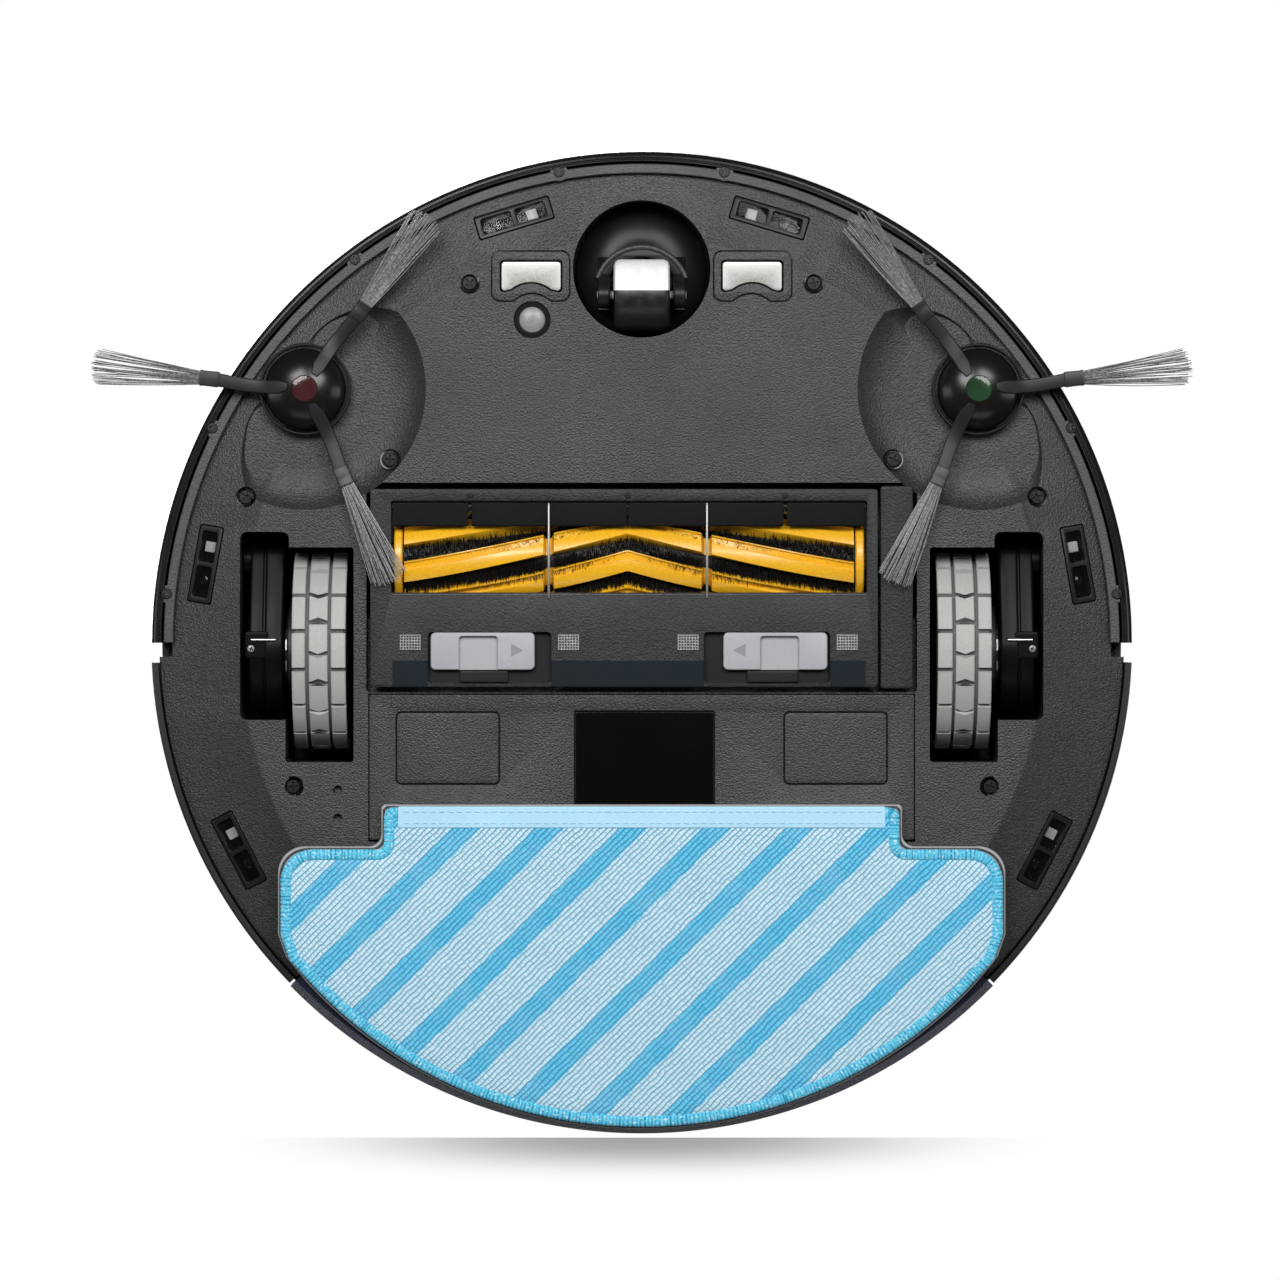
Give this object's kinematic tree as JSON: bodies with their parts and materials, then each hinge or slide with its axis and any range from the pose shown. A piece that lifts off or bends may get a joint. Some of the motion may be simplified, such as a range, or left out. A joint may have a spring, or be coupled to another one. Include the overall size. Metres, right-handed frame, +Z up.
{
  "type": "robot vacuum",
  "caption": "Round robot vacuum with laser turret, side brushes, main roller, drive wheels, caster, bumper and a slide-out mop tank with cloth.",
  "frame": {"origin": "on the floor under the middle of the round body", "axes": "+Z up; -Y is the robot's front, the bumper side; +X is its left side"},
  "size_m": [0.3924, 0.35, 0.0935],
  "materials": {
    "grained_black": "fine grain",
    "gloss_black": "gloss",
    "satin_black": "satin",
    "bristle_grey": "nylon bristle",
    "tyre_grey": "matt rubber",
    "hub_grey": "satin",
    "latch_grey": "satin",
    "roller_yellow": "soft gloss",
    "steel": "satin",
    "smoky_tank": "translucent",
    "plate_grey": "satin",
    "mop_blue": "terry microfibre",
    "lens_smoke": "gloss",
    "cap_red": "translucent",
    "cap_green": "translucent",
    "board_green": "lacquered board",
    "battery_blue": "shrink film",
    "caster_white": "satin"
  },
  "bodies": {
    "chassis": {"base_shell": "grained_black", "top_shell": "satin_black", "rear_panel": "grained_black", "side_cover": "grained_black", "battery_pack": "battery_blue", "main_board": "board_green", "suction_fan": "satin_black", "suction_duct": "satin_black", "dust_bin": "smoky_tank", "bin_filter": "caster_white", "charge_contact_left": "steel", "charge_contact_right": "steel", "brush_chamber": "grained_black", "caster_socket": "grained_black", "wheel_housing_left": "grained_black", "wheel_housing_right": "grained_black", "cliff_lens_front_left": "lens_smoke", "cliff_lens_front_right": "lens_smoke", "cliff_lens_side_left": "lens_smoke", "cliff_lens_side_right": "lens_smoke", "cliff_lens_rear_left": "lens_smoke", "cliff_lens_rear_right": "lens_smoke", "brush_motor": "steel", "side_brush_motor_left": "steel", "side_brush_motor_right": "steel", "lidar_base": "satin_black", "lidar_cap": "gloss_black", "suspension_spring_left": "steel", "suspension_spring_right": "steel", "end_bearing_left": "latch_grey", "end_bearing_right": "latch_grey", "guard_frame": "grained_black", "flap_strip": "satin_black", "guard_wire_left": "steel", "guard_wire_right": "steel"},
    "bumper": {"bumper_shell": "gloss_black", "bumper_retainer": "grained_black"},
    "lid": {"lid": "gloss_black"},
    "start_button": {"start_button": "hub_grey"},
    "lidar_rotor": {"lidar_rotor": "satin_black"},
    "caster_fork": {"caster_fork": "satin_black", "caster_axle": "steel"},
    "caster_wheel": {"caster_wheel": "caster_white"},
    "roller": {"roller_core": "roller_yellow", "roller_brush": "roller_yellow"},
    "latch_left": {"guard_latch_left": "latch_grey"},
    "latch_right": {"guard_latch_right": "latch_grey"},
    "tank": {"tank_body": "smoky_tank"},
    "mop": {"mop_plate": "plate_grey", "mop_cloth": "mop_blue"},
    "wheel_arm_left": {"gearbox_left": "satin_black", "drive_motor_left": "steel"},
    "drive_wheel_left": {"wheel_hub_left": "hub_grey", "tyre_left": "tyre_grey"},
    "side_brush_left": {"side_brush_left": "satin_black"},
    "wheel_arm_right": {"gearbox_right": "satin_black", "drive_motor_right": "steel"},
    "drive_wheel_right": {"wheel_hub_right": "hub_grey", "tyre_right": "tyre_grey"},
    "side_brush_right": {"side_brush_right": "satin_black"}
  },
  "joints": [
    {"name": "bumper_press", "type": "slide", "parent": "chassis", "child": "bumper", "axis": [0, 1, 0], "range_m": [0, 0.0035], "stiffness_N_per_m": 300, "springref_m": -0.003},
    {"name": "lid_open", "type": "hinge", "parent": "chassis", "child": "lid", "pos_m": [0, 0.0064, 0.078], "axis": [1, 0, 0], "range_deg": [0, 75]},
    {"name": "start_press", "type": "slide", "parent": "chassis", "child": "start_button", "axis": [0, 0, -1], "range_m": [0, 0.001], "stiffness_N_per_m": 400, "springref_m": -0.0008},
    {"name": "lidar_spin", "type": "hinge", "parent": "chassis", "child": "lidar_rotor", "pos_m": [0, -0.052, 0.084], "axis": [0, 0, 1], "continuous": true},
    {"name": "caster_swivel", "type": "hinge", "parent": "chassis", "child": "caster_fork", "pos_m": [0, -0.1326, 0.02], "axis": [0, 0, 1], "continuous": true},
    {"name": "caster_roll", "type": "hinge", "parent": "caster_fork", "child": "caster_wheel", "pos_m": [0, -0.1234, 0.01275], "axis": [1, 0, 0], "continuous": true},
    {"name": "roller_spin", "type": "hinge", "parent": "chassis", "child": "roller", "pos_m": [-0.0045, -0.029, 0.021], "axis": [1, 0, 0], "continuous": true},
    {"name": "latch_slide_left", "type": "slide", "parent": "chassis", "child": "latch_left", "axis": [-1, 0, 0], "range_m": [0, 0.004], "stiffness_N_per_m": 120, "springref_m": -0.001},
    {"name": "latch_slide_right", "type": "slide", "parent": "chassis", "child": "latch_right", "axis": [1, 0, 0], "range_m": [0, 0.004], "stiffness_N_per_m": 120, "springref_m": -0.001},
    {"name": "tank_out", "type": "slide", "parent": "chassis", "child": "tank", "axis": [0, 1, 0], "range_m": [0, 0.12]},
    {"name": "mop_off", "type": "slide", "parent": "tank", "child": "mop", "axis": [0, 0, -1], "range_m": [0, 0.02]},
    {"name": "suspension_left", "type": "hinge", "parent": "chassis", "child": "wheel_arm_left", "pos_m": [0.134, -0.029, 0.03], "axis": [-1, 0, 0], "range_deg": [0, 20], "stiffness_Nm_per_rad": 0.2, "springref_deg": 34.38, "deforming": ["suspension_spring_left"]},
    {"name": "wheel_spin_left", "type": "hinge", "parent": "wheel_arm_left", "child": "drive_wheel_left", "pos_m": [0.11465, 0.0032, 0.0353], "axis": [1, 0, 0], "continuous": true},
    {"name": "side_brush_spin_left", "type": "hinge", "parent": "chassis", "child": "side_brush_left", "pos_m": [0.1198, -0.0898, 0.008], "axis": [0, 0, 1], "continuous": true},
    {"name": "suspension_right", "type": "hinge", "parent": "chassis", "child": "wheel_arm_right", "pos_m": [-0.134, -0.029, 0.03], "axis": [-1, 0, 0], "range_deg": [0, 20], "stiffness_Nm_per_rad": 0.2, "springref_deg": 34.38, "deforming": ["suspension_spring_right"]},
    {"name": "wheel_spin_right", "type": "hinge", "parent": "wheel_arm_right", "child": "drive_wheel_right", "pos_m": [-0.11465, 0.0032, 0.0353], "axis": [1, 0, 0], "continuous": true},
    {"name": "side_brush_spin_right", "type": "hinge", "parent": "chassis", "child": "side_brush_right", "pos_m": [-0.1198, -0.0898, 0.008], "axis": [0, 0, 1], "continuous": true}
  ]
}
